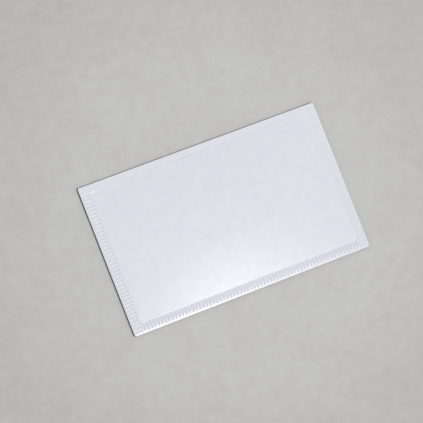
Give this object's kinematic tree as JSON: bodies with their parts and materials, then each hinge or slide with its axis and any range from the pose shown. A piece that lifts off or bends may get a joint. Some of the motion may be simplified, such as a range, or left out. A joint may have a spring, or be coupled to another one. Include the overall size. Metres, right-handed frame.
{
  "type": "magnetic document pocket",
  "caption": "Flat rectangular pocket with a clear front film held by a ribbed weld, open along its top edge for a card, on a white back with a magnetic sheet behind it.",
  "frame": {"origin": "middle of the pocket's lowest face, which is the magnetic back it lies on", "axes": "+X along the long edge, +Y towards the open mouth along the top edge, +Z out of the clear front"},
  "size_m": [0.1, 0.06, 0.0023],
  "materials": {
    "magnetic_rubber": "dark brown flexible magnetic rubber, dull, with faint rolling lines",
    "white_vinyl": "smooth opaque white vinyl sheet with a satin face",
    "clear_film": "clear soft vinyl film with a faint blue tint and a satin face"
  },
  "bodies": {
    "root": {"magnet_sheet": "magnetic_rubber", "back_sheet": "white_vinyl", "front_film": "clear_film"}
  },
  "joints": []
}
